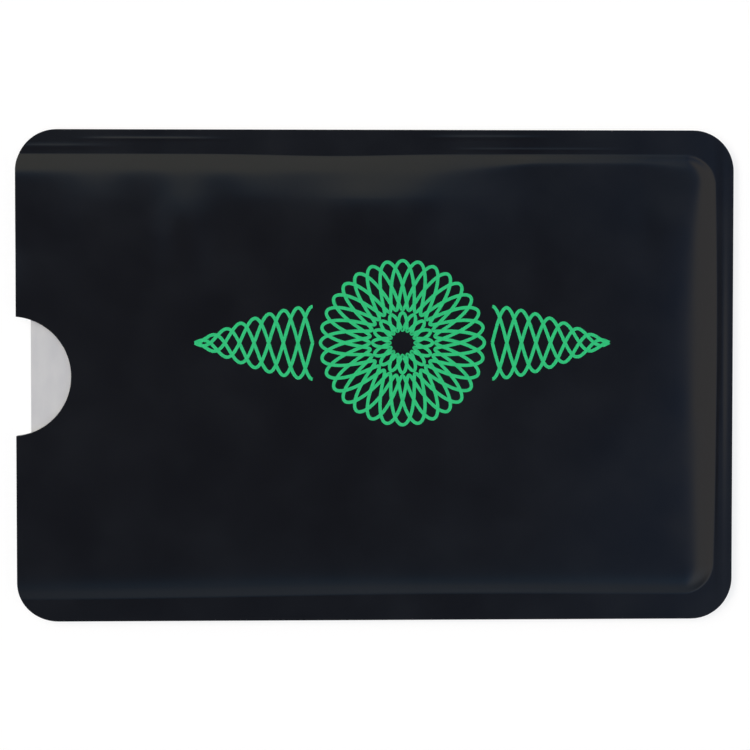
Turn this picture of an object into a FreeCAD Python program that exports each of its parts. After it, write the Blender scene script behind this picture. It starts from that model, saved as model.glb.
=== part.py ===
import FreeCAD, Part
import math
import os

import Sketcher

# Card sleeve: a flat pocket of two foil-laminate panels, heat-sealed along both sides and one
# end, with a contactless card inside. The sleeve lies on its back panel. X runs along its
# length, with the open mouth at -X and the closed end at +X. Y runs across it and Z points up.
# The origin is the centre of its footprint, on the surface it lies on. Lengths are millimetres.

doc = FreeCAD.newDocument("card_sleeve")
sheet = doc.addObject("Spreadsheet::Sheet", "Sizes")

SIZES = [
    # Card: a standard bank-card blank, with its edge set back behind the mouth
    ("card_length", 85.6),
    ("card_width", 53.98),
    ("card_corner_radius", 3.18),
    ("overlay_thickness", 0.08),
    ("core_thickness", 0.3),
    ("card_inset", 1.85),
    # Room round the card: over each face, past each long edge and past the inner end
    ("card_gap", 0.22),
    ("side_clearance", 0.18),
    ("end_clearance", 0.78),
    # Panels: outline, thumb notch, and the slope from the flat seal up to the pocket's crown
    ("outline_corner_radius", 5.2),
    ("notch_radius", 7.55),
    ("notch_setback", 0.62),
    ("crown_run", 0.8),
    ("crown_round_share", 0.8),
    # Laminate plies, from the inside of the pocket outwards
    ("sealing_thickness", 0.05),
    ("foil_thickness", 0.02),
    ("paper_thickness", 0.1),
    ("film_thickness", 0.05),
    # Heat seals
    ("side_seal_width", 3.18),
    ("end_seal_width", 1.97),
    ("seal_thickness", 0.04),
    ("seal_corner_share", 0.7),
    # Antenna track, and the chip module that bridges its turns
    ("antenna_margin", 4.0),
    ("antenna_track", 0.5),
    ("antenna_gap", 0.5),
    ("antenna_thickness", 0.03),
    ("groove_clearance", 0.05),
    ("chip_width", 5.0),
    ("chip_margin", 0.5),
    ("chip_cover", 0.08),
    ("chip_clearance", 0.02),
    # Length by which blanks and cuts run past the outline
    ("overrun", 2.0),
]
ANTENNA_TURNS = 4

for row, (alias, number) in enumerate(SIZES, start=1):
    sheet.set(f"A{row}", str(number))
    sheet.setAlias(f"A{row}", alias)
doc.recompute()

# Sizes that follow from the driving ones, written as expressions in them
HALF_CARD = "(Sizes.overlay_thickness + Sizes.core_thickness)"
LAMINATE = ("(Sizes.sealing_thickness + Sizes.foil_thickness"
            " + Sizes.paper_thickness + Sizes.film_thickness)")
SEAL_PLANE = f"({LAMINATE} + {HALF_CARD} + Sizes.card_gap)"
HALF_LENGTH = ("((Sizes.card_inset + Sizes.card_length + Sizes.end_clearance"
               " + Sizes.crown_run + Sizes.end_seal_width) / 2)")
POCKET_END = f"({HALF_LENGTH} - Sizes.end_seal_width)"
POCKET_SIDE = "(Sizes.card_width / 2 + Sizes.side_clearance + Sizes.crown_run)"
POCKET_CORNER = "(Sizes.card_corner_radius + Sizes.side_clearance + Sizes.crown_run)"
HALF_WIDTH = f"({POCKET_SIDE} + Sizes.side_seal_width)"
CARD_CENTRE = f"(Sizes.card_inset + Sizes.card_length / 2 - {HALF_LENGTH})"

# The crown: how far it rises from the seal, its slope, and the rounding of its upper edge,
# whose tangent length is a share of the slope
CROWN_RISE = f"({HALF_CARD} + Sizes.card_gap - Sizes.seal_thickness / 2)"
CROWN_SLOPE = f"sqrt(Sizes.crown_run ^ 2 + {CROWN_RISE} ^ 2)"
CROWN_RADIUS = (f"Sizes.crown_round_share * {CROWN_SLOPE} * {CROWN_RISE}"
                f" / ({CROWN_SLOPE} - Sizes.crown_run)")
CROWN_TAPER = f"-atan(Sizes.crown_run / {CROWN_RISE})"

# The blank that each ply is cut from, and the crown in it, run out past the outline
BLANK_OVERRUN = f"({POCKET_CORNER} + 2 * Sizes.overrun)"
CROWN_OVERRUN = f"({POCKET_CORNER} + Sizes.overrun)"

# The antenna's outer corner, and the chip that bridges its turns under what is left of the core
ANTENNA_PITCH = "(Sizes.antenna_track + Sizes.antenna_gap)"
ANTENNA_END = "(Sizes.card_length / 2 - Sizes.antenna_margin)"
ANTENNA_SIDE = "(Sizes.card_width / 2 - Sizes.antenna_margin)"
CHIP_LENGTH = (f"({ANTENNA_TURNS} * {ANTENNA_PITCH} + Sizes.antenna_track"
               " + 2 * Sizes.chip_margin)")
CHIP_CENTRE = f"({ANTENNA_END} - {ANTENNA_TURNS} * {ANTENNA_PITCH} / 2)"
CHIP_THICKNESS = "(Sizes.core_thickness - Sizes.chip_cover)"

# Cuts through a whole panel reach this far, half of it each way
THROUGH = f"4 * {SEAL_PLANE}"

# The plies of a panel, from the seal outwards, with their thicknesses
PLIES = [
    ("sealing_film", "Sizes.sealing_thickness"),
    ("shield_foil", "Sizes.foil_thickness"),
    ("paper_ply", "Sizes.paper_thickness"),
    ("gloss_film", "Sizes.film_thickness"),
]


def value(expression):
    """Present value of an expression in the sheet's sizes."""
    return float(sheet.evalExpression(expression))


def new_body(node, centre="0", turned=False):
    """Body on the seal plane, at X = centre, turned about X for the back of the sleeve."""
    body = doc.addObject("PartDesign::Body", node)
    body.Label = node
    if turned:
        body.Placement.Rotation = FreeCAD.Rotation(FreeCAD.Vector(1, 0, 0), 180)
    body.setExpression("Placement.Base.x", centre)
    body.setExpression("Placement.Base.z", SEAL_PLANE)
    return body


def new_sketch(body, name, height):
    """Sketch parallel to the body's XY plane, at a height above it."""
    sketch = body.newObject("Sketcher::SketchObject", f"{body.Name}_{name}")
    plane = next(item for item in body.Origin.OriginFeatures if item.Role == "XY_Plane")
    sketch.AttachmentSupport = [(plane, "")]
    sketch.MapMode = "FlatFace"
    sketch.setExpression("AttachmentOffset.Base.z", height)
    return sketch


def bind(sketch, name, expression, kind, *places):
    """Dimension of a sketch that follows an expression."""
    index = sketch.addConstraint(Sketcher.Constraint(kind, *places, value(expression)))
    sketch.renameConstraint(index, name)
    sketch.setExpression(f"Constraints.{name}", expression)


def bind_sides(sketch, prefix, lines, sides):
    """Distances from the origin to a rectangle's bottom, right, top and left lines."""
    bottom, right, top, left = lines
    low_y, high_x, high_y, low_x = sides
    bind(sketch, f"{prefix}_bottom", f"-({low_y})", "DistanceY", bottom, 1, -1, 1)
    bind(sketch, f"{prefix}_right", high_x, "DistanceX", -1, 1, right, 1)
    bind(sketch, f"{prefix}_top", high_y, "DistanceY", -1, 1, top, 1)
    bind(sketch, f"{prefix}_left", f"-({low_x})", "DistanceX", left, 1, -1, 1)


def draw_lines(sketch, corners):
    """Straight runs between pairs of points, the first and third level, the others upright."""
    lines = [sketch.addGeometry(Part.LineSegment(start, end)) for start, end in corners]
    for index, line in enumerate(lines):
        sketch.addConstraint(Sketcher.Constraint("Vertical" if index % 2 else "Horizontal", line))
    return lines


def draw_rectangle(sketch, prefix, sides):
    """Rectangle with sides at (low y, high x, high y, low x)."""
    low_y, high_x, high_y, low_x = (value(side) for side in sides)
    points = [FreeCAD.Vector(x, y) for x, y in
              [(low_x, low_y), (high_x, low_y), (high_x, high_y), (low_x, high_y)]]
    lines = draw_lines(sketch, list(zip(points, points[1:] + points[:1])))
    for line, following in zip(lines, lines[1:] + lines[:1]):
        sketch.addConstraint(Sketcher.Constraint("Coincident", line, 2, following, 1))
    bind_sides(sketch, prefix, lines, sides)


def draw_rounded_rectangle(sketch, prefix, sides, radius):
    """Rectangle with sides at (low y, high x, high y, low x) and four equal round corners."""
    low_y, high_x, high_y, low_x = (value(side) for side in sides)
    inset = value(radius)
    runs = [
        (low_x + inset, low_y, high_x - inset, low_y),
        (high_x, low_y + inset, high_x, high_y - inset),
        (high_x - inset, high_y, low_x + inset, high_y),
        (low_x, high_y - inset, low_x, low_y + inset),
    ]
    lines = draw_lines(sketch, [(FreeCAD.Vector(x0, y0), FreeCAD.Vector(x1, y1))
                                for x0, y0, x1, y1 in runs])
    centres = [
        (high_x - inset, low_y + inset),
        (high_x - inset, high_y - inset),
        (low_x + inset, high_y - inset),
        (low_x + inset, low_y + inset),
    ]
    arcs = []
    for quarter, (x, y) in enumerate(centres):
        circle = Part.Circle(FreeCAD.Vector(x, y), FreeCAD.Vector(0, 0, 1), inset)
        start = (quarter - 1) * math.pi / 2
        arcs.append(sketch.addGeometry(Part.ArcOfCircle(circle, start, start + math.pi / 2)))
    for line, arc, following in zip(lines, arcs, lines[1:] + lines[:1]):
        sketch.addConstraint(Sketcher.Constraint("Tangent", line, 2, arc, 1))
        sketch.addConstraint(Sketcher.Constraint("Tangent", arc, 2, following, 1))
    for arc in arcs[1:]:
        sketch.addConstraint(Sketcher.Constraint("Equal", arcs[0], arc))
    bind(sketch, f"{prefix}_corner", radius, "Radius", arcs[0])
    bind_sides(sketch, prefix, lines, sides)


def pad(body, sketch, length, taper="0"):
    """Solid raised from a sketch, drawn in by the taper as it rises."""
    feature = body.newObject("PartDesign::Pad", f"{sketch.Name}_pad")
    feature.Profile = sketch
    feature.setExpression("Length", length)
    feature.setExpression("TaperAngle", taper)
    doc.recompute()


def cut(body, sketch, depth, taper="0", both_ways=False):
    """Hollow cut upwards from a sketch, or both ways from it, which has to remove material."""
    before = body.Shape.Volume
    feature = body.newObject("PartDesign::Pocket", f"{sketch.Name}_cut")
    feature.Profile = sketch
    feature.Reversed = True
    feature.SideType = "Symmetric" if both_ways else "One side"
    feature.setExpression("Length", depth)
    feature.setExpression("TaperAngle", taper)
    doc.recompute()
    if not body.Shape.Volume < before:
        raise RuntimeError(f"{feature.Name} removes nothing")


def round_edges(body, name, height):
    """Crown rounding on all edges of the body so far that lie at one height."""
    level = value(height)
    feature = body.Tip
    names = [f"Edge{number}" for number, edge in enumerate(feature.Shape.Edges, start=1)
             if all(abs(point.z - level) < Part.Precision.confusion()
                    for point in edge.discretize(3))]
    fillet = body.newObject("PartDesign::Fillet", f"{body.Name}_{name}")
    fillet.Base = (feature, names)
    fillet.setExpression("Radius", CROWN_RADIUS)
    doc.recompute()


def pocket_sides():
    """Foot of the crown: past the mouth on one end, along the seals on the other three."""
    return f"-{POCKET_SIDE}", POCKET_END, POCKET_SIDE, f"-({HALF_LENGTH} + {CROWN_OVERRUN})"


def outline_sides(margin="0"):
    """Outline of the sleeve, or a rectangle that stands off it by a margin."""
    across = f"({HALF_WIDTH} + {margin})"
    along = f"({HALF_LENGTH} + {margin})"
    return f"-{across}", along, across, f"-{along}"


def die_cut(body):
    """Trim a blank to the sleeve's outline, with its round corners."""
    frame = new_sketch(body, "outline", "0")
    draw_rectangle(frame, "scrap", outline_sides(f"({BLANK_OVERRUN} + Sizes.overrun)"))
    draw_rounded_rectangle(frame, "edge", outline_sides(), "Sizes.outline_corner_radius")
    cut(body, frame, THROUGH, both_ways=True)


def cut_notch(body):
    """Half-round thumb notch in the mouth's edge."""
    notch = new_sketch(body, "notch", "0")
    centre = FreeCAD.Vector(-value(HALF_LENGTH) - value("Sizes.notch_setback"), 0)
    circle = notch.addGeometry(Part.Circle(centre, FreeCAD.Vector(0, 0, 1),
                                           value("Sizes.notch_radius")))
    notch.addConstraint(Sketcher.Constraint("PointOnObject", circle, 3, -1))
    bind(notch, "radius", "Sizes.notch_radius", "Radius", circle)
    bind(notch, "setback", f"{HALF_LENGTH} + Sizes.notch_setback", "DistanceX", circle, 3, -1, 1)
    cut(body, notch, THROUGH, both_ways=True)


def make_ply(node, foot, thickness, turned):
    """One ply of a panel: a flat web with the pocket's crown raised in it, then die-cut.

    The crown has the same form on both faces, one ply thickness apart, so neighbouring plies
    lie face to face everywhere.
    """
    body = new_body(node, turned=turned)
    head = f"({foot} + {thickness})"
    web = new_sketch(body, "web", foot)
    draw_rectangle(web, "web", outline_sides(BLANK_OVERRUN))
    pad(body, web, thickness)

    crown = new_sketch(body, "crown", head)
    draw_rounded_rectangle(crown, "crown", pocket_sides(), POCKET_CORNER)
    pad(body, crown, CROWN_RISE, CROWN_TAPER)
    hollow = new_sketch(body, "hollow", foot)
    draw_rounded_rectangle(hollow, "hollow", pocket_sides(), POCKET_CORNER)
    cut(body, hollow, CROWN_RISE, CROWN_TAPER)
    round_edges(body, "inner_round", f"{foot} + {CROWN_RISE}")
    round_edges(body, "outer_round", f"{head} + {CROWN_RISE}")

    die_cut(body)
    cut_notch(body)
    return body


def make_panel(side, turned):
    """All plies of one panel, stacked outwards from the seal."""
    bodies = []
    foot = "Sizes.seal_thickness / 2"
    for ply, thickness in PLIES:
        bodies.append(make_ply(f"{side}_{ply}", foot, thickness, turned))
        foot = f"{foot} + {thickness}"
    return bodies


def make_side_seal(node, turned):
    """Fused band along one long side, between the two panels."""
    body = new_body(node, turned=turned)
    band = new_sketch(body, "band", "-Sizes.seal_thickness / 2")
    draw_rectangle(band, "band", (POCKET_SIDE, *outline_sides("Sizes.overrun")[1:]))
    pad(body, band, "Sizes.seal_thickness")
    die_cut(body)
    return body


def make_end_seal():
    """Fused band across the closed end, filling the pocket's round corners."""
    body = new_body("closed_end_seal")
    band = new_sketch(body, "band", "-Sizes.seal_thickness / 2")
    start = f"({POCKET_END} - Sizes.seal_corner_share * {POCKET_CORNER})"
    reach = f"({HALF_LENGTH} + Sizes.overrun)"
    draw_rectangle(band, "band", (f"-{POCKET_SIDE}", reach, POCKET_SIDE, start))
    pad(body, band, "Sizes.seal_thickness")
    hollow = new_sketch(body, "pocket", "-Sizes.seal_thickness / 2")
    draw_rounded_rectangle(hollow, "pocket", pocket_sides(), POCKET_CORNER)
    cut(body, hollow, "Sizes.seal_thickness")
    die_cut(body)
    return body


def make_card_sheet(node, foot, thickness):
    """One sheet of the card, with the card's outline."""
    body = new_body(node, CARD_CENTRE)
    outline = new_sketch(body, "outline", foot)
    half_length = "Sizes.card_length / 2"
    half_width = "Sizes.card_width / 2"
    draw_rounded_rectangle(outline, "card", (f"-{half_width}", half_length, half_width,
                                             f"-{half_length}"), "Sizes.card_corner_radius")
    pad(body, outline, thickness)
    return body


def draw_chip(body, clearance):
    """Plan of the chip module on the middle plane of the card, with room round it."""
    plan = new_sketch(body, "chip", "0")
    half_width = f"(Sizes.chip_width / 2 + {clearance})"
    half_length = f"({CHIP_LENGTH} / 2 + {clearance})"
    draw_rectangle(plan, "chip", (f"-{half_width}", f"({CHIP_CENTRE} + {half_length})",
                                  half_width, f"({CHIP_CENTRE} - {half_length})"))
    return plan


def antenna_route():
    """Corners of the square spiral: it starts and ends beside the chip and winds inwards.

    Turn number n runs n pitches inside the first, and steps in on the chip's side.
    """
    pitch = value(ANTENNA_PITCH)
    end = value(ANTENNA_END)
    side = value(ANTENNA_SIDE)
    start = value("Sizes.chip_width") / 4
    route = [FreeCAD.Vector(end, start)]
    for turn in range(ANTENNA_TURNS):
        inset = turn * pitch
        route += [
            FreeCAD.Vector(end - inset, side - inset),
            FreeCAD.Vector(inset - end, side - inset),
            FreeCAD.Vector(inset - end, inset - side),
            FreeCAD.Vector(end - inset - pitch, inset - side),
        ]
    route.append(FreeCAD.Vector(end - ANTENNA_TURNS * pitch, -start))
    return route


def track_solid(route, width, depth):
    """Flat track of one width along a route of square turns, under the card's middle plane."""
    headings = [(end - start).normalize() for start, end in zip(route, route[1:])]
    lefts = [FreeCAD.Vector(-heading.y, heading.x) for heading in headings]
    offsets = [lefts[0]] + [a + b for a, b in zip(lefts, lefts[1:])] + [lefts[-1]]
    near = [point + offset * width / 2 for point, offset in zip(route, offsets)]
    far = [point - offset * width / 2 for point, offset in zip(route, offsets)]
    outline = near + far[::-1]
    face = Part.Face(Part.makePolygon(outline + outline[:1]))
    return face.extrude(FreeCAD.Vector(0, 0, -depth))


def make_track(node, clearance):
    """Antenna track, or the groove for it with room along both edges."""
    width = value("Sizes.antenna_track") + 2 * clearance
    feature = doc.addObject("Part::Feature", node)
    feature.Label = node
    feature.Shape = track_solid(antenna_route(), width, value("Sizes.antenna_thickness"))
    feature.setExpression("Placement.Base.x", CARD_CENTRE)
    feature.setExpression("Placement.Base.z", SEAL_PLANE)
    return feature


def make_card():
    """Contactless card: two cores with the antenna and chip between them, and two overlays."""
    front_overlay = make_card_sheet("card_front_overlay", "Sizes.core_thickness",
                                    "Sizes.overlay_thickness")
    back_overlay = make_card_sheet("card_back_overlay", f"-{HALF_CARD}", "Sizes.overlay_thickness")

    front_core = make_card_sheet("card_front_core", "0", "Sizes.core_thickness")
    cut(front_core, draw_chip(front_core, "Sizes.chip_clearance"), CHIP_THICKNESS)
    chip = new_body("card_chip", CARD_CENTRE)
    pad(chip, draw_chip(chip, "0"), CHIP_THICKNESS)

    antenna = make_track("card_antenna", 0)
    back_core = doc.addObject("Part::Cut", "card_back_core")
    back_core.Label = "card_back_core"
    back_core.Base = make_card_sheet("back_core_blank", "-Sizes.core_thickness",
                                     "Sizes.core_thickness")
    back_core.Tool = make_track("antenna_groove", value("Sizes.groove_clearance"))
    return [front_overlay, front_core, chip, antenna, back_core, back_overlay]


def export(subparts):
    """Write one file per sub-part, once every object is sound."""
    doc.recompute()
    faulty = [item.Name for item in doc.Objects
              if "Invalid" in item.State or "Error" in item.State]
    faulty += [item.Label for item in subparts
               if item.Shape.isNull() or not item.Shape.isValid() or not item.Shape.Solids]
    if faulty:
        raise RuntimeError(f"unsound objects: {faulty}")
    os.makedirs("parts", exist_ok=True)
    for item in subparts:
        item.Shape.exportStep(os.path.join("parts", f"{item.Label}.step"))
        box = item.Shape.BoundBox
        print(f"{item.Label}: {len(item.Shape.Solids)} solid, {item.Shape.Volume:.3f} mm3, "
              f"z {box.ZMin:.3f} to {box.ZMax:.3f}")


sleeve = [
    *make_panel("front", turned=False),
    *make_panel("back", turned=True),
    make_side_seal("upper_side_seal", turned=False),
    make_side_seal("lower_side_seal", turned=True),
    make_end_seal(),
]
export(sleeve + make_card())
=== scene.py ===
import math

import bpy
import numpy as np
from mathutils import Matrix, Vector


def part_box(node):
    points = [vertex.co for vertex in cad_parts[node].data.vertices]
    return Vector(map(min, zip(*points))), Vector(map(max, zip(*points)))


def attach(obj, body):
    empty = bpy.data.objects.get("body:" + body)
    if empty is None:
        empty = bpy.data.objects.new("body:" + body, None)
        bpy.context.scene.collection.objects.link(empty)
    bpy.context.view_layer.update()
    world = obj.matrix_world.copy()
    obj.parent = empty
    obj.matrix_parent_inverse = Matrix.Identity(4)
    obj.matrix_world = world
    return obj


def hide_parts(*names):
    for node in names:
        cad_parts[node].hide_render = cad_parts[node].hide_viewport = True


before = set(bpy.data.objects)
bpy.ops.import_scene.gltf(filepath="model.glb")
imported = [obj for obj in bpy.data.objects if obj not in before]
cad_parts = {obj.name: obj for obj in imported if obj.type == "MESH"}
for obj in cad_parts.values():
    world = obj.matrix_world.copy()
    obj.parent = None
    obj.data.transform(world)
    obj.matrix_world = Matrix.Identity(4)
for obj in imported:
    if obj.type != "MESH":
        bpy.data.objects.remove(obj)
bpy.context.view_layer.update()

# Everything below is worked out in millimetres and turned to metres where a mesh is made.
MM = 0.001


def box_mm(node):
    """Lowest and highest corner of a frame node, in millimetres."""
    low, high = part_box(node)
    return np.array(low) / MM, np.array(high) / MM


# The plies of a panel, from the pocket outwards.
PLIES = ("sealing_film", "shield_foil", "paper_ply", "gloss_film")

film_high = box_mm("front_gloss_film")[1]
seal_low, seal_high = box_mm("upper_side_seal")
HALF_LENGTH = film_high[0]
HALF_WIDTH = film_high[1]
POCKET_SIDE = seal_low[1]
SEAL_PLANE = (seal_low[2] + seal_high[2]) / 2
SEAL_HALF_THICKNESS = (seal_high[2] - seal_low[2]) / 2

# Heights over the seal plane, at the flange, of each ply's inner face and of the outer face.
ply_feet = [box_mm(f"front_{ply}")[0][2] - SEAL_PLANE for ply in PLIES]
lining_low, lining_high = box_mm("front_sealing_film")
CROWN_RISE = lining_high[2] - lining_low[2] - (ply_feet[1] - ply_feet[0])
PLY_LEVELS = ply_feet + [film_high[2] - SEAL_PLANE - CROWN_RISE]

# The card's inner end, side and top, and how high a panel has climbed where it passes over the card's
# edge: just clear of the card.
CARD_CLEARANCE = 0.01
CARD_END, CARD_SIDE, CARD_TOP = box_mm("card_front_overlay")[1]
EDGE_LIFT = CARD_TOP - SEAL_PLANE - PLY_LEVELS[0] + CARD_CLEARANCE

# The die-cut outline and the pocket inside the seals.
END_SEAL_WIDTH = 1.97
POCKET_END = HALF_LENGTH - END_SEAL_WIDTH
POCKET_CORNER = 3.7
SEAL_CORNER_SHARE = 0.7
OUTLINE_CORNER = 5.2
NOTCH_RADIUS = 7.55
NOTCH_SETBACK = 0.62
NOTCH_HALF_ANGLE = math.acos(NOTCH_SETBACK / NOTCH_RADIUS)
NOTCH_HALF_WIDTH = NOTCH_RADIUS * math.sin(NOTCH_HALF_ANGLE)

# How far the side seals' inner edges stray from straight: out at the mouth, back along the taper, and
# in by a dip, with the dip's place along X and its half-length.
UPPER_EDGE = (0.0, 0.27, -5.5, 9.5)
LOWER_EDGE = (0.30, 0.27, 12.0, 26.0)
EDGE_TAPER_RUN = 50.0

# The end seal's inner edge lies in from its nominal line: everywhere, more towards the lower side, and
# bowed beside the pocket's corners.
END_EDGE = (0.12, -0.045, 0.46)

# The rounded foot from which a panel leaves the seals, and how far from the pocket's corners the sides
# begin to blend into the closed end, and how softly.
CROWN_FOOT = 0.15
CROWN_BLEND = 6.0
CROWN_BLEND_SOFTNESS = 3.0

# Along the upper side, towards the closed end, both panels are drawn tight over the card: they climb
# from a wider foot, and gain the last share of the rise only farther in, over about this reach.
TIGHT_ALONG = (5.0, 21.0)
TIGHT_FOOT = 0.35
TIGHT_SHARE = 0.34
TIGHT_REACH = 11.0

# Along the lower side, away from the mouth, the front panel is slack and goes on rising: by how much
# and over what run. The slack is taken up again before the closed end.
SLACK_ALONG = (-38.0, 8.0)
SLACK_RISE = 0.18
SLACK_RUN = 2.8
SLACK_END_FADE = 24.0

# Changes along a side come in from the panel's middle line over this much of Y.
SIDE_REACH = 9.0

# Before the closed end too the front panel goes on rising and then sinks away: rise, run, fade, place
# along Y and half-length.
END_SLACK = (0.22, 4.5, 20.0, 6.0, 17.0)

# The front panel's lip bends down a little between the notch and the upper side: depth, place and
# half-length along Y, and run in from the edge.
LIP_BEND = (0.10, 14.3, 4.0, 2.0)

# Soft swellings of the front panel inside the upper seal: rise, place along X, half-length along X
# and the run from the seal over which each one grows.
SWELLINGS = (
    (0.17, -35.2, 4.2, 6.5),
    (0.32, -24.4, 3.6, 8.5),
    (0.12, -15.5, 4.5, 6.0),
    (0.37, -0.5, 12.0, 6.6),
)

# Past its own run a swelling dies away over this much.
SWELLING_FADE = 9.0

# Shallow waves in the front panel: height, wavelength along X and along Y, and phase.
FILM_WAVES = (
    (0.006, 31.0, 47.0, 0.4),
    (0.003, -19.0, 23.0, 1.9),
    (0.002, 13.0, -17.0, 4.1),
)

# Swellings and waves come in from the seals over this run.
SETTLE_RUN = 3.0

# Ridges that the sealing jaw leaves along the upper seal: distance in from the edge, height,
# half-width, and the ends of the stretch where they show.
JAW_RIDGES = (
    (1.18, 0.024, 0.17, -39.0, -17.0),
    (2.15, 0.022, 0.28, -48.0, -31.0),
    (0.96, 0.020, 0.19, 5.0, 24.0),
    (2.48, 0.012, 0.14, 8.0, 34.0),
)

# A ridge comes in over the first run and dies away over the second.
RIDGE_START_RUN = 6.0
RIDGE_STOP_RUN = 9.0

# Beads along the closed end's flange: distance in from the edge, height, half-width, and the place and
# half-length along Y.
END_BEADS = (
    (1.33, 0.037, 0.48, 0.0, 19.0),
    (1.84, 0.020, 0.25, -9.0, 11.0),
)

# Past the seals' inner edge, ridges and beads fade into the pocket over this run.
DRIFT_FADE = 0.5

# Grid steps: over the card, near the seals, at the mouth, round the corners and the notch, and across
# the end seal. Lines nearer than the spacing are one line, and a row within the last value of a seal's
# inner edge lies on it.
WIDE_STEP = 0.85
FINE_STEP = 0.16
FINE_REACH = 5.6
MOUTH_STEP = 0.32
MOUTH_REACH = 3.0
ARC_STEPS = 14
NOTCH_STEPS = 30
END_SEAL_STEPS = 14
LINE_SPACING = 0.012
SAME_LINE = 1e-6

# How far in from the mouth and from the closed end the columns bend with the outline.
LEFT_WARP_REACH = 27.0
RIGHT_WARP_REACH = 12.0

# The printed ornament: a rosette of interlaced lobed rings between two tapering braids. A set of rings
# is their mean radius, its swing, their lobes and their number.
PRINT_CENTRE = (3.3, 4.2)
PRINT_LINE = 0.42
RING_SETS = ((7.3, 3.1, 8, 4), (2.7, 1.1, 8, 2))
RING_STEPS = 720
BRAID_START = 11.4
BRAID_END = 26.3
BRAID_HEIGHT = 4.6
BRAID_TAPER_POWER = 1.6
BRAID_WAVELENGTH = 7.4
BRAID_STRANDS = 4
BRAID_STEPS = 180

# An inked line's height over the film, its depth into it, and how much higher than the line before
# each line lies, so that none share a face where they cross.
INK_THICKNESS = 0.012
INK_DEPTH = 0.006
INK_LAYER = 0.0005


def smooth_step(value):
    """3v^2 - 2v^3 of the value held between 0 and 1."""
    held = np.clip(value, 0.0, 1.0)
    return held * held * (3.0 - 2.0 * held)


def even_steps(start, stop, step):
    """Evenly spaced values from start to stop, about one step apart."""
    return np.linspace(start, stop, max(2, int(math.ceil((stop - start) / step)) + 1))


def sorted_levels(*groups):
    """All values of the groups in order, without those that nearly repeat another."""
    levels = np.unique(np.concatenate(groups))
    apart = np.diff(levels, prepend=levels[0] - 1.0) > LINE_SPACING
    return levels[apart]


def row_levels():
    """Y of the grid's rows, for Y >= 0 and mirrored: R sin(angle) round the notch and round the
    outline's corners, and even steps, finer where the panels leave the seals."""
    notch = NOTCH_RADIUS * np.sin(np.linspace(0.0, NOTCH_HALF_ANGLE, NOTCH_STEPS + 1))
    fine_from = POCKET_SIDE - FINE_REACH
    wide = even_steps(NOTCH_HALF_WIDTH, fine_from, WIDE_STEP)
    inside = even_steps(fine_from, POCKET_SIDE, FINE_STEP)
    corner_angles = np.linspace(0.0, math.pi / 2.0, ARC_STEPS + 1)
    corner = HALF_WIDTH - OUTLINE_CORNER + OUTLINE_CORNER * np.sin(corner_angles)
    flange = even_steps(POCKET_SIDE, HALF_WIDTH, FINE_STEP)
    half = sorted_levels(notch, wide, inside, flange, corner[corner > POCKET_SIDE])
    return np.concatenate([-half[:0:-1], half])


def column_levels():
    """X of the grid's columns before they are drawn to the outline: even steps, finer at the mouth
    and where the panels leave the end seal."""
    mouth = even_steps(-HALF_LENGTH, -HALF_LENGTH + MOUTH_REACH, MOUTH_STEP)
    fine_from = POCKET_END - FINE_REACH
    wide = even_steps(-HALF_LENGTH + MOUTH_REACH, fine_from, WIDE_STEP)
    inside = even_steps(fine_from, POCKET_END, FINE_STEP)
    flange = even_steps(POCKET_END, HALF_LENGTH, FINE_STEP)
    return sorted_levels(mouth, wide, inside, flange)


def corner_cut(y):
    """How far the rounded corners draw the outline in at Y: R - sqrt(R^2 - (|Y| - W/2 + R)^2)."""
    over = np.clip(np.abs(y) - (HALF_WIDTH - OUTLINE_CORNER), 0.0, OUTLINE_CORNER)
    return OUTLINE_CORNER - np.sqrt(OUTLINE_CORNER**2 - over**2)


def notch_cut(y):
    """How far the notch draws the mouth in at Y: sqrt(R^2 - Y^2) less the setback of its centre."""
    inside = np.clip(NOTCH_RADIUS**2 - y**2, 0.0, None)
    return np.clip(np.sqrt(inside) - NOTCH_SETBACK, 0.0, None)


def side_stray(x, y):
    """How far out of line the inner edge of the nearer side seal lies at X, outwards positive:
    taper * (1 - smoothstep) - dip * exp(-((X - c) / l)^2)."""
    along = 1.0 - smooth_step((x + HALF_LENGTH) / EDGE_TAPER_RUN)
    strays = [
        taper * along - dip * np.exp(-(((x - middle) / half_length) ** 2))
        for taper, dip, middle, half_length in (UPPER_EDGE, LOWER_EDGE)
    ]
    return np.where(y > 0.0, *strays)


def end_stray(y):
    """How far in the inner edge of the end seal lies at Y: shift + tilt * t + bow * t^2, where t is
    Y / side."""
    shift, tilt, bow = END_EDGE
    across = y / POCKET_SIDE
    return shift + tilt * across + bow * across**2


def edge_pull(outward, edge, cut):
    """Weight of the grid lines that move with a seal's inner edge: 1 on that edge, falling evenly to
    0 at the cut edge and at the fine steps' reach inside the pocket."""
    over_seal = (cut - outward) / (cut - edge)
    over_pocket = 1.0 - (edge - outward) / FINE_REACH
    return np.clip(np.minimum(over_seal, over_pocket), 0.0, 1.0)


def panel_grid(rows, columns):
    """X and Y of the die-cut panel: X = column + cut(Y) * weight(column), where the weight falls
    smoothly from 1 at that end of the panel to 0, so the outer columns follow the outline. The lines
    by the seals move with the seals' inner edges."""
    x, y = np.meshgrid(columns, rows)
    left = 1.0 - smooth_step((x + HALF_LENGTH) / LEFT_WARP_REACH)
    right = 1.0 - smooth_step((HALF_LENGTH - x) / RIGHT_WARP_REACH)
    bow = end_stray(y) * edge_pull(x, POCKET_END, HALF_LENGTH)
    x = x + (corner_cut(y) + notch_cut(y)) * left - corner_cut(y) * right - bow
    stray = side_stray(x, y) * edge_pull(np.abs(y), POCKET_SIDE, HALF_WIDTH)
    return x, y + np.sign(y) * stray


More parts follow.
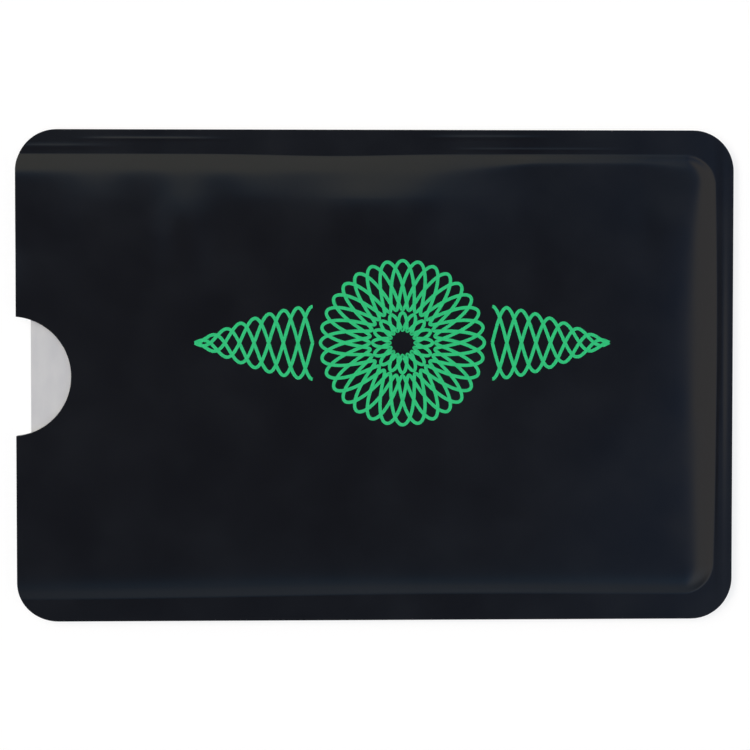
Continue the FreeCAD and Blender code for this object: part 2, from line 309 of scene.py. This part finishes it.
def from_corner(x, y):
    """Distances past the centre of the pocket's nearer corner round, along X and along Y."""
    end = POCKET_END - end_stray(y)
    side = POCKET_SIDE + side_stray(x, y)
    return x - (end - POCKET_CORNER), np.abs(y) - (side - POCKET_CORNER)


def pocket_depth(x, y):
    """Distance in from the seals' inner edge, negative over the seals: a rounded rectangle that
    runs on past the mouth, R - |max(q, 0)| - min(max(qx, qy), 0) with q from the corner's centre."""
    over_x, over_y = from_corner(x, y)
    outside = np.hypot(np.clip(over_x, 0.0, None), np.clip(over_y, 0.0, None))
    return POCKET_CORNER - outside - np.minimum(np.maximum(over_x, over_y), 0.0)


def side_change(x, outward, along):
    """Weight of a change of a panel along one side: it comes in smoothly along X from the first value
    to the second, and from the panel's middle line towards that side."""
    start, stop = along
    return smooth_step((x - start) / (stop - start)) * smooth_step(outward / SIDE_REACH)


def crown(x, y):
    """Height of the climb from the seals at depth d: rise * (1 - exp(-(sqrt(d^2 + f^2) - f) / run)),
    with the run at which it has the edge lift at the end of the gap beside the card. Where the panel is
    tight, the foot f is wider and the rise less. Round the corners the sides blend into the closed end
    by qx^2 / (qx^2 + qy^2 + s^2), and the gap by its square."""
    depth = np.clip(pocket_depth(x, y), 0.0, None)
    over_x, over_y = [np.clip(over + CROWN_BLEND, 0.0, None) for over in from_corner(x, y)]
    end_share = over_x**2 / (over_x**2 + over_y**2 + CROWN_BLEND_SOFTNESS**2)
    tight = side_change(x, y, TIGHT_ALONG) * (1.0 - end_share)
    side_gap = POCKET_SIDE - CARD_SIDE + np.minimum(side_stray(x, y), 0.0)
    end_gap = POCKET_END - end_stray(y) - CARD_END
    gap = side_gap + (end_gap - side_gap) * end_share**2
    foot = CROWN_FOOT + (TIGHT_FOOT - CROWN_FOOT) * tight
    near_side = np.exp(-(((POCKET_SIDE - y) / TIGHT_REACH) ** 2))
    rise = CROWN_RISE * (1.0 - TIGHT_SHARE * tight * near_side)
    run = (np.hypot(gap, foot) - foot) / -np.log(1.0 - EDGE_LIFT / rise)
    return rise * (1.0 - np.exp(-(np.hypot(depth, foot) - foot) / run))


def slack_lift(x, y):
    """Height that a slack panel gains over the crown: a * (1 - exp(-d / r)) along the lower side at depth
    d, and e * (1 - exp(-i / r)) * exp(-(i / f)^2) * exp(-((Y - c) / l)^2) at distance i in from the
    end seal."""
    depth = np.clip(pocket_depth(x, y), 0.0, None)
    inward = np.clip(POCKET_END - end_stray(y) - x, 0.0, None)
    slack = side_change(x, -y, SLACK_ALONG) * smooth_step(inward / SLACK_END_FADE)
    lift = SLACK_RISE * slack * (1.0 - np.exp(-depth / SLACK_RUN))
    rise, run, fade, middle, half_length = END_SLACK
    along = np.exp(-(((y - middle) / half_length) ** 2)) * np.exp(-((inward / fade) ** 2))
    return lift + rise * along * (1.0 - np.exp(-inward / run))


def seal_drift(x, y):
    """Height of the sealed flanges over the seal plane, the same for both panels: Gaussian jaw
    ridges along the upper seal and beads along the closed end, gone inside the pocket."""
    drift = np.zeros_like(x)
    for inset, height, half_width, start, stop in JAW_RIDGES:
        across = np.exp(-(((HALF_WIDTH - inset - y) / half_width) ** 2))
        start_share = smooth_step((x - start) / RIDGE_START_RUN)
        stop_share = smooth_step((stop - x) / RIDGE_STOP_RUN)
        drift = drift + height * across * (start_share * stop_share)
    for inset, height, half_width, middle, half_length in END_BEADS:
        across = np.exp(-(((HALF_LENGTH - inset - x) / half_width) ** 2))
        drift = drift + height * across * np.exp(-(((y - middle) / half_length) ** 2))
    return drift * np.exp(-np.clip(pocket_depth(x, y), 0.0, None) / DRIFT_FADE)


def panel_lift(x, y, front):
    """Height of a panel over its flange: the crown, and on the front the slack, the bent lip, the
    shallow waves h * sin(2 pi (X / wx + Y / wy) + phase) and, at distance d from the upper seal, the
    swellings a * exp(-((X - c) / l)^2) * smoothstep(d / r) * exp(-(max(d - r, 0) / f)^2). The back
    lies flat on the table."""
    lift = crown(x, y)
    if not front:
        return lift
    lift = lift + slack_lift(x, y)
    depth = np.clip(pocket_depth(x, y), 0.0, None)
    bend, middle, half_length, run = LIP_BEND
    near_mouth = np.exp(-(x + HALF_LENGTH) / run)
    lift = lift - bend * near_mouth * np.exp(-(((y - middle) / half_length) ** 2))
    below = np.clip(POCKET_SIDE - y, 0.0, None)
    settle = 1.0 - np.exp(-depth / SETTLE_RUN)
    for rise, centre, half_length, run in SWELLINGS:
        along = np.exp(-(((x - centre) / half_length) ** 2))
        past = np.clip(below - run, 0.0, None)
        across = smooth_step(below / run) * np.exp(-((past / SWELLING_FADE) ** 2))
        lift = lift + rise * along * across * settle
    for height, wave_x, wave_y, phase in FILM_WAVES:
        lift = lift + height * settle * np.sin(2.0 * math.pi * (x / wave_x + y / wave_y) + phase)
    return lift


def face_height(x, y, level, front):
    """Z of a ply's face at a level over its flange, on the front or the back panel."""
    side = 1.0 if front else -1.0
    return SEAL_PLANE + seal_drift(x, y) + side * (level + panel_lift(x, y, front))


# Edges that turn by more than this, such as the cut edges, are drawn crisp.
CRISP_ANGLE = math.radians(60.0)


def mesh_object(name, points, quads):
    """One smooth mesh at the origin from points in millimetres, crisp where it turns sharply."""
    mesh = bpy.data.meshes.new(name)
    mesh.from_pydata((points * MM).tolist(), [], quads.tolist(), shade_flat=False)
    mesh.validate()
    mesh.update()
    mesh.set_sharp_from_angle(angle=CRISP_ANGLE)
    piece = bpy.data.objects.new(name, mesh)
    bpy.context.scene.collection.objects.link(piece)
    return piece


def grid_quads(rows, columns, first):
    """Quads of a grid of rows * columns points, anticlockwise as seen from +Z."""
    index = first + np.arange(rows * columns).reshape(rows, columns)
    corners = (index[:-1, :-1], index[:-1, 1:], index[1:, 1:], index[1:, :-1])
    return np.stack([corner.ravel() for corner in corners], axis=1)


def closed_sheet(name, x, y, lower, upper):
    """A thin closed sheet: the grid at its upper and its lower heights, joined by a wall round the
    grid's border."""
    rows, columns = x.shape
    count = rows * columns
    points = np.concatenate(
        [np.stack([x, y, height], axis=-1).reshape(-1, 3) for height in (upper, lower)]
    )
    index = np.arange(count).reshape(rows, columns)
    border = np.concatenate([index[0, :-1], index[:-1, -1], index[-1, :0:-1], index[:0:-1, 0]])
    onward = np.roll(border, -1)
    wall = np.stack([border, border + count, onward + count, onward], axis=1)
    faces = (grid_quads(rows, columns, 0), grid_quads(rows, columns, count)[:, ::-1], wall)
    return mesh_object(name, points, np.concatenate(faces))


def make_panel(panel):
    """The four plies of one panel as nested sheets on one grid, each in place of its node."""
    front = panel == "front"
    x, y = panel_grid(row_levels(), column_levels())
    for ply, inner, outer in zip(PLIES, PLY_LEVELS[:-1], PLY_LEVELS[1:]):
        heights = [face_height(x, y, level, front) for level in (inner, outer)]
        lower, upper = heights if front else heights[::-1]
        sheet = closed_sheet(f"{panel}_{ply}_sheet", x, y, lower, upper)
        sheet.data.materials.append(PLY_SURFACES[ply])
        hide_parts(f"{panel}_{ply}")
        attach(sheet, "sleeve")


def make_seal(name, node, x, y):
    """A fused band between the flanges, over a grid that follows the die-cut edge."""
    middle = SEAL_PLANE + seal_drift(x, y)
    band = closed_sheet(name, x, y, middle - SEAL_HALF_THICKNESS, middle + SEAL_HALF_THICKNESS)
    band.data.materials.append(SEAL_SURFACE)
    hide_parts(node)
    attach(band, "sleeve")


def make_seals():
    """Two long bands from the panel's own rows and one across the closed end, whose inner edge
    follows the pocket's end and rounded corners, X = end - R + sqrt(R^2 - (|Y| - side + R)^2), but
    comes in by no more than a share of R."""
    rows = row_levels()
    columns = column_levels()
    for name, node, chosen in (
        ("upper_seal_band", "upper_side_seal", rows >= POCKET_SIDE - SAME_LINE),
        ("lower_seal_band", "lower_side_seal", rows <= -POCKET_SIDE + SAME_LINE),
    ):
        x, y = panel_grid(rows[chosen], columns)
        make_seal(name, node, x, y)
    between = rows[np.abs(rows) <= POCKET_SIDE + SAME_LINE]
    over = np.clip(np.abs(between) - (POCKET_SIDE - POCKET_CORNER), 0.0, POCKET_CORNER)
    reach = POCKET_CORNER - np.sqrt(POCKET_CORNER**2 - over**2)
    inner = POCKET_END - end_stray(between) - np.minimum(reach, SEAL_CORNER_SHARE * POCKET_CORNER)
    outer = HALF_LENGTH - corner_cut(between)
    share = np.linspace(0.0, 1.0, END_SEAL_STEPS + 1)
    x = inner[:, None] + (outer - inner)[:, None] * share
    y = np.repeat(between[:, None], len(share), axis=1)
    make_seal("end_seal_band", "closed_end_seal", x, y)


def ring_paths():
    """Closed paths r = mean + swing * cos(lobes * angle + shift), turned evenly within a set."""
    angle = np.linspace(0.0, 2.0 * math.pi, RING_STEPS + 1)[:-1]
    paths = []
    for mean, swing, lobes, count in RING_SETS:
        for shift in np.arange(count) * 2.0 * math.pi / count:
            radius = mean + swing * np.cos(lobes * angle + shift)
            paths.append(np.stack([radius * np.cos(angle), radius * np.sin(angle)], axis=1))
    return paths


def braid_paths():
    """Open paths y = height * taper * sin(2 pi x / wavelength + shift), with x from the braid's start,
    mirrored to the left; the taper 1 - share^power falls smoothly to 0 at the tip."""
    x = np.linspace(BRAID_START, BRAID_END, BRAID_STEPS + 1)
    share = (x - BRAID_START) / (BRAID_END - BRAID_START)
    taper = 1.0 - share**BRAID_TAPER_POWER
    turn = 2.0 * math.pi * (x - BRAID_START) / BRAID_WAVELENGTH
    paths = []
    for shift in np.arange(BRAID_STRANDS) * 2.0 * math.pi / BRAID_STRANDS:
        y = BRAID_HEIGHT * taper * np.sin(turn + shift)
        paths.append(np.stack([x, y], axis=1))
        paths.append(np.stack([-x[::-1], y[::-1]], axis=1))
    return paths


def ink_line(path, closed, raised):
    """Points and quads of one inked line: a box section of the line's width carried along the path,
    from the ink's depth under the film's face to the raised height over it."""
    if closed:
        onward = np.roll(path, -1, axis=0) - np.roll(path, 1, axis=0)
    else:
        onward = np.gradient(path, axis=0)
    onward = onward / np.linalg.norm(onward, axis=1, keepdims=True)
    across = np.stack([-onward[:, 1], onward[:, 0]], axis=1) * PRINT_LINE / 2.0
    section = []
    for side, height in ((1.0, -INK_DEPTH), (-1.0, -INK_DEPTH), (-1.0, raised), (1.0, raised)):
        edge = path + side * across + np.array(PRINT_CENTRE)
        z = face_height(edge[:, 0], edge[:, 1], PLY_LEVELS[-1], True) + height
        section.append(np.column_stack([edge, z]))
    points = np.stack(section, axis=1)
    corners = len(section)
    count = len(path)
    here = np.arange(count if closed else count - 1)
    there = corners * ((here + 1) % count)
    here = corners * here
    quads = np.concatenate(
        [
            np.stack([here + a, here + b, there + b, there + a], axis=1)
            for a, b in ((1, 0), (2, 1), (3, 2), (0, 3))
        ]
    )
    if not closed:
        last = corners * (count - 1)
        ends = np.array([[0, 1, 2, 3], [last + 3, last + 2, last + 1, last]])
        quads = np.concatenate([quads, ends])
    return points.reshape(-1, 3), quads


def make_ornament():
    """All inked lines as one piece; each lies a hair higher than the last where they cross."""
    lines = [(path, True) for path in ring_paths()] + [(path, False) for path in braid_paths()]
    points = []
    quads = []
    first = 0
    for place, (path, closed) in enumerate(lines):
        line_points, line_quads = ink_line(path, closed, INK_THICKNESS + INK_LAYER * place)
        points.append(line_points)
        quads.append(line_quads + first)
        first += len(line_points)
    ornament = mesh_object("green_ornament", np.concatenate(points), np.concatenate(quads))
    ornament.data.materials.append(INK_SURFACE)
    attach(ornament, "sleeve")


def linear(hex_code):
    """Linear RGBA of an sRGB colour written as six hex digits."""
    srgb = np.array([int(hex_code[place:place + 2], 16) for place in (0, 2, 4)]) / 255.0
    low = srgb / 12.92
    high = ((srgb + 0.055) / 1.055) ** 2.4
    return (*np.where(srgb <= 0.04045, low, high).tolist(), 1.0)


def add_node(tree, kind, inputs=None, **settings):
    """Adds a node, sets its properties and fills its inputs, with a link where a value is a socket."""
    node = tree.nodes.new(kind)
    for key, value in settings.items():
        setattr(node, key, value)
    for key, value in (inputs or {}).items():
        if isinstance(value, bpy.types.NodeSocket):
            tree.links.new(value, node.inputs[key])
        else:
            node.inputs[key].default_value = value
    return node


# A pattern that is not drawn out along any axis.
EVEN = (1.0, 1.0, 1.0)

# Noise values between which a cloudy pattern goes from its first value to its second.
CLOUD_LOW, CLOUD_HIGH = 0.3, 0.7

# Sockets of a colour mix.
MIX_SHARE, MIX_FIRST, MIX_SECOND, MIX_RESULT = 0, 6, 7, 2


def patterned_surface(name, colours, roughness, tone, relief, depth, **constants):
    """A material on a Principled shader, in the piece's own coordinates. A cloudy tone pattern takes
    the colour and the roughness from their first value to their second, and a relief pattern is that
    many millimetres deep. A pattern is the size of its features in millimetres, its detail and its
    stretch along the axes."""
    material = bpy.data.materials.new(name)
    material.use_nodes = True
    tree = material.node_tree
    tree.nodes.clear()
    place = add_node(tree, "ShaderNodeTexCoord").outputs["Object"]
    clouds = []
    for size, detail, stretch in (tone, relief):
        scale = [1.0 / (size * MM * factor) for factor in stretch]
        spot = add_node(tree, "ShaderNodeMapping", {"Vector": place, "Scale": scale})
        clouds.append(
            add_node(
                tree,
                "ShaderNodeTexNoise",
                {"Vector": spot.outputs["Vector"], "Scale": 1.0, "Detail": detail},
            ).outputs["Fac"]
        )
    tone_cloud, relief_cloud = clouds
    share = add_node(
        tree,
        "ShaderNodeMapRange",
        {"Value": tone_cloud, "From Min": CLOUD_LOW, "From Max": CLOUD_HIGH},
    ).outputs["Result"]
    first, second = [linear(colour) for colour in colours]
    colour = add_node(
        tree,
        "ShaderNodeMix",
        {MIX_SHARE: share, MIX_FIRST: first, MIX_SECOND: second},
        data_type="RGBA",
    ).outputs[MIX_RESULT]
    smooth, rough = roughness
    sheen = add_node(
        tree, "ShaderNodeMapRange", {"Value": share, "To Min": smooth, "To Max": rough}
    ).outputs["Result"]
    bump = add_node(tree, "ShaderNodeBump", {"Distance": depth * MM, "Height": relief_cloud})
    shader = add_node(
        tree,
        "ShaderNodeBsdfPrincipled",
        {"Base Color": colour, "Roughness": sheen, "Normal": bump.outputs["Normal"], **constants},
    )
    add_node(tree, "ShaderNodeOutputMaterial", {"Surface": shader.outputs["BSDF"]})
    return material


PLY_SURFACES = {
    # A milky grey sheen over the foil, with soft flow bands along the web.
    "sealing_film": patterned_surface(
        "blown polyethylene sealing film",
        colours=("a3a7ab", "b9bdc0"),
        roughness=(0.32, 0.45),
        tone=(1.4, 3.0, (9.0, 1.0, 1.0)),
        relief=(1.4, 3.0, (9.0, 1.0, 1.0)),
        depth=0.003,
        IOR=1.51,
    ),
    # Bright grey metal, drawn out into fine streaks by the rolls, wider than real ones so that they show.
    "shield_foil": patterned_surface(
        "cold rolled aluminium foil",
        colours=("cfd2d4", "e4e6e7"),
        roughness=(0.22, 0.4),
        tone=(0.06, 3.0, (40.0, 1.0, 1.0)),
        relief=(0.06, 3.0, (40.0, 1.0, 1.0)),
        depth=0.0008,
        Metallic=1.0,
    ),
    # Warm white and matt, with fibres along the web, thicker than real ones so that they show.
    "paper_ply": patterned_surface(
        "calendered white kraft paper",
        colours=("d9d4c8", "ece8df"),
        roughness=(0.8, 0.95),
        tone=(0.12, 4.0, (6.0, 1.0, 1.0)),
        relief=(0.12, 4.0, (6.0, 1.0, 1.0)),
        depth=0.01,
        IOR=1.5,
    ),
    # A deep, faintly blue black under clear gloss: haze softens the lamps' edges into clouds, and
    # fine peel keeps them from being sharp.
    "gloss_film": patterned_surface(
        "reverse printed black polyester film",
        colours=("0c0d0f", "0f1012"),
        roughness=(0.13, 0.2),
        tone=(8.0, 3.0, EVEN),
        relief=(0.9, 2.0, EVEN),
        depth=0.0006,
        IOR=1.52,
    ),
}

# Clear grey, glossier where it flowed under the heated jaw.
SEAL_SURFACE = patterned_surface(
    "heat fused polyethylene seal",
    colours=("8f9397", "a6aaad"),
    roughness=(0.22, 0.4),
    tone=(0.7, 3.0, (3.0, 1.0, 1.0)),
    relief=(0.7, 3.0, (3.0, 1.0, 1.0)),
    depth=0.004,
    IOR=1.51,
)

# Opaque bright green, slightly uneven from the screen's mesh, drawn coarser than it is so that it shows.
INK_SURFACE = patterned_surface(
    "screen printed green ink",
    colours=("1cbf72", "24c87c"),
    roughness=(0.35, 0.5),
    tone=(0.3, 3.0, EVEN),
    relief=(0.3, 3.0, EVEN),
    depth=0.002,
    IOR=1.5,
)

# Even silver grey with faint mottling, under the grain of the press plate, drawn a little coarser than
# it is so that it shows.
OVERLAY_SURFACE = patterned_surface(
    "satin pressed silver grey PVC overlay",
    colours=("c5c5c7", "cdcdcd"),
    roughness=(0.4, 0.48),
    tone=(1.6, 4.0, (1.0, 2.5, 1.0)),
    relief=(0.14, 2.0, EVEN),
    depth=0.002,
    IOR=1.53,
)

# Clean white, faintly speckled where the card was punched.
CORE_SURFACE = patterned_surface(
    "calendered white PVC core",
    colours=("dededb", "ebebe8"),
    roughness=(0.45, 0.6),
    tone=(0.25, 3.0, EVEN),
    relief=(0.25, 3.0, EVEN),
    depth=0.004,
    IOR=1.53,
)

# Dull bright metal, pitted by the etch, with pits drawn larger than they are so that they show.
ANTENNA_SURFACE = patterned_surface(
    "etched aluminium",
    colours=("bcbfc1", "d3d6d8"),
    roughness=(0.35, 0.55),
    tone=(0.08, 3.0, EVEN),
    relief=(0.08, 3.0, EVEN),
    depth=0.003,
    Metallic=1.0,
)

# Matt black with a fine grain from the mould.
CHIP_SURFACE = patterned_surface(
    "moulded black epoxy",
    colours=("17181a", "222326"),
    roughness=(0.55, 0.7),
    tone=(0.1, 3.0, EVEN),
    relief=(0.1, 3.0, EVEN),
    depth=0.004,
    IOR=1.55,
)

CARD_SURFACES = {
    "card_front_overlay": OVERLAY_SURFACE,
    "card_back_overlay": OVERLAY_SURFACE,
    "card_front_core": CORE_SURFACE,
    "card_back_core": CORE_SURFACE,
    "card_antenna": ANTENNA_SURFACE,
    "card_chip": CHIP_SURFACE,
}


# Directions in the picture and off the table.
UP, DOWN = (0.0, 1.0, 0.0), (0.0, -1.0, 0.0)
LEFT, RIGHT = (-1.0, 0.0, 0.0), (1.0, 0.0, 0.0)
TO_FLOOR, TO_SKY = (0.0, 0.0, -1.0), (0.0, 0.0, 1.0)

# Soft lamps of the light dome over a dim even glow: each is a radiance and the soft edges that bound
# it, an edge being a direction and the degrees of tilt towards it where the lamp starts and is full.
# The key lamp lights the card and the print from over the mouth, where the level film mirrors it only
# to an eye on the far side.
EVEN_GLOW = (0.084, 0.086, 0.125)
LAMPS = {
    "upper blue glow": ((0.05, 0.21, 0.42), ((UP, 3.0, 10.5), (LEFT, -15.0, -4.0))),
    "upper warm lamp": ((0.54, 0.38, 0.08), ((UP, 6.5, 12.5), (LEFT, -9.6, -4.8))),
    "end blue glow": (
        (0.06, 0.19, 0.44),
        ((RIGHT, 4.5, 17.0), (DOWN, -90.0, -45.0), (UP, -48.0, -14.0)),
    ),
    "end warm lamp": (
        (0.50, 0.34, 0.05),
        ((RIGHT, 11.2, 18.0), (DOWN, -90.0, -20.0), (UP, -48.0, -14.0)),
    ),
    "lower blue glow": (
        (0.06, 0.155, 0.26),
        ((DOWN, 4.5, 20.0), (RIGHT, -12.0, -3.0), (LEFT, -80.0, -15.0)),
    ),
    "lower pale lamp": (
        (0.17, 0.14, 0.10),
        ((DOWN, 14.0, 45.0), (RIGHT, -12.0, -3.0), (LEFT, -80.0, -15.0)),
    ),
    "mouth blue glow": ((0.10, 0.18, 0.30), ((LEFT, 8.0, 16.0),)),
    "mouth lamp": (
        (4.22, 3.72, 3.05),
        ((LEFT, 14.0, 50.0), (UP, -40.0, 25.0), (TO_SKY, 20.0, 50.0)),
    ),
    "key lamp": (
        (8.10, 7.14, 5.85),
        ((LEFT, 26.0, 42.0), (UP, -40.0, 25.0), (TO_SKY, 34.0, 50.0)),
    ),
    "low ring": ((0.55, 0.52, 0.50), ((TO_FLOOR, -12.0, -2.0),)),
}


def light_dome():
    """World light: the even glow, and each lamp's radiance times the product of its soft edges,
    smoothstep(sin(start), sin(full), direction . side)."""
    world = bpy.data.worlds.new("light_dome")
    bpy.context.scene.world = world
    world.use_nodes = True
    tree = world.node_tree
    tree.nodes.clear()
    direction = add_node(tree, "ShaderNodeTexCoord").outputs["Generated"]
    total = EVEN_GLOW
    for radiance, edges in LAMPS.values():
        glow = radiance
        for side, start, full in edges:
            tilt = add_node(
                tree, "ShaderNodeVectorMath", {0: direction, 1: side}, operation="DOT_PRODUCT"
            )
            share = add_node(
                tree,
                "ShaderNodeMapRange",
                {
                    "Value": tilt.outputs["Value"],
                    "From Min": math.sin(math.radians(start)),
                    "From Max": math.sin(math.radians(full)),
                },
                interpolation_type="SMOOTHSTEP",
            )
            glow = add_node(
                tree,
                "ShaderNodeVectorMath",
                {0: glow, "Scale": share.outputs["Result"]},
                operation="SCALE",
            ).outputs["Vector"]
        total = add_node(
            tree, "ShaderNodeVectorMath", {0: total, 1: glow}, operation="ADD"
        ).outputs["Vector"]
    back = add_node(tree, "ShaderNodeBackground", {"Color": total, "Strength": 1.0})
    add_node(tree, "ShaderNodeOutputWorld", {"Surface": back.outputs["Background"]})


# The table lies a hair below the sleeve, reaches past the edge of low views, and is white to the eye by
# a share of its own glow.
FLOOR_HALF_SIZE = 5000.0
FLOOR_LEVEL = -0.01
FLOOR_GLOW = 1.08
FLOOR_GLOW_SHARE = 0.72


def make_floor():
    """A white table top: matt to the light, and mostly self-white to the eye, so that it stays white
    and still takes the sleeve's soft shadow."""
    reach = np.array([[-1.0, -1.0], [1.0, -1.0], [1.0, 1.0], [-1.0, 1.0]]) * FLOOR_HALF_SIZE
    points = np.column_stack([reach, np.full(len(reach), FLOOR_LEVEL)])
    floor = mesh_object("table_top", points, np.array([[0, 1, 2, 3]]))
    material = bpy.data.materials.new("white matt table top")
    material.use_nodes = True
    tree = material.node_tree
    tree.nodes.clear()
    ray = add_node(tree, "ShaderNodeLightPath")
    seen = add_node(
        tree,
        "ShaderNodeMath",
        {0: ray.outputs["Is Camera Ray"], 1: ray.outputs["Is Glossy Ray"]},
        operation="MAXIMUM",
    )
    seen = add_node(
        tree,
        "ShaderNodeMath",
        {0: seen.outputs[0], 1: ray.outputs["Is Transmission Ray"]},
        operation="MAXIMUM",
    )
    share = add_node(
        tree, "ShaderNodeMath", {0: seen.outputs[0], 1: FLOOR_GLOW_SHARE}, operation="MULTIPLY"
    )
    matt = add_node(tree, "ShaderNodeBsdfDiffuse", {"Color": linear("f4f4f4")})
    glow = add_node(
        tree, "ShaderNodeEmission", {"Color": linear("ffffff"), "Strength": FLOOR_GLOW}
    )
    mixed = add_node(
        tree,
        "ShaderNodeMixShader",
        {0: share.outputs[0], 1: matt.outputs["BSDF"], 2: glow.outputs["Emission"]},
    )
    add_node(tree, "ShaderNodeOutputMaterial", {"Surface": mixed.outputs["Shader"]})
    floor.data.materials.append(material)


# The camera looks down on the face from a little towards the mouth and the upper side, by a tilt that
# is its shift per unit of height. Its lens and distance make the picture about 95 mm wide at the face.
CAMERA_TARGET = (-0.18, 0.11, 1.3)
CAMERA_TILT = (-0.036, 0.037)
CAMERA_DISTANCE = 317.2
CAMERA_LENS = 120.0
CAMERA_SENSOR = 36.0
CAMERA_NEAR = 10.0


def make_camera():
    """A long lens over the sleeve, aimed at the target with +Y up in the picture."""
    data = bpy.data.cameras.new("overhead_camera")
    data.lens = CAMERA_LENS
    data.sensor_width = CAMERA_SENSOR
    data.clip_start = CAMERA_NEAR * MM
    camera = bpy.data.objects.new("overhead_camera", data)
    target = Vector(CAMERA_TARGET) * MM
    back = Vector((*CAMERA_TILT, 1.0)).normalized()
    camera.location = target + back * CAMERA_DISTANCE * MM
    across = Vector((0.0, 1.0, 0.0)).cross(back).normalized()
    camera.rotation_euler = Matrix((across, back.cross(across), back)).transposed().to_euler()
    bpy.context.scene.collection.objects.link(camera)
    bpy.context.scene.camera = camera


for panel_name in ("front", "back"):
    make_panel(panel_name)
make_seals()
make_ornament()
for node_name, node_surface in CARD_SURFACES.items():
    card_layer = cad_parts[node_name]
    card_layer.data.materials.clear()
    card_layer.data.materials.append(node_surface)

light_dome()
make_floor()
make_camera()
bpy.context.scene.view_settings.view_transform = "Standard"
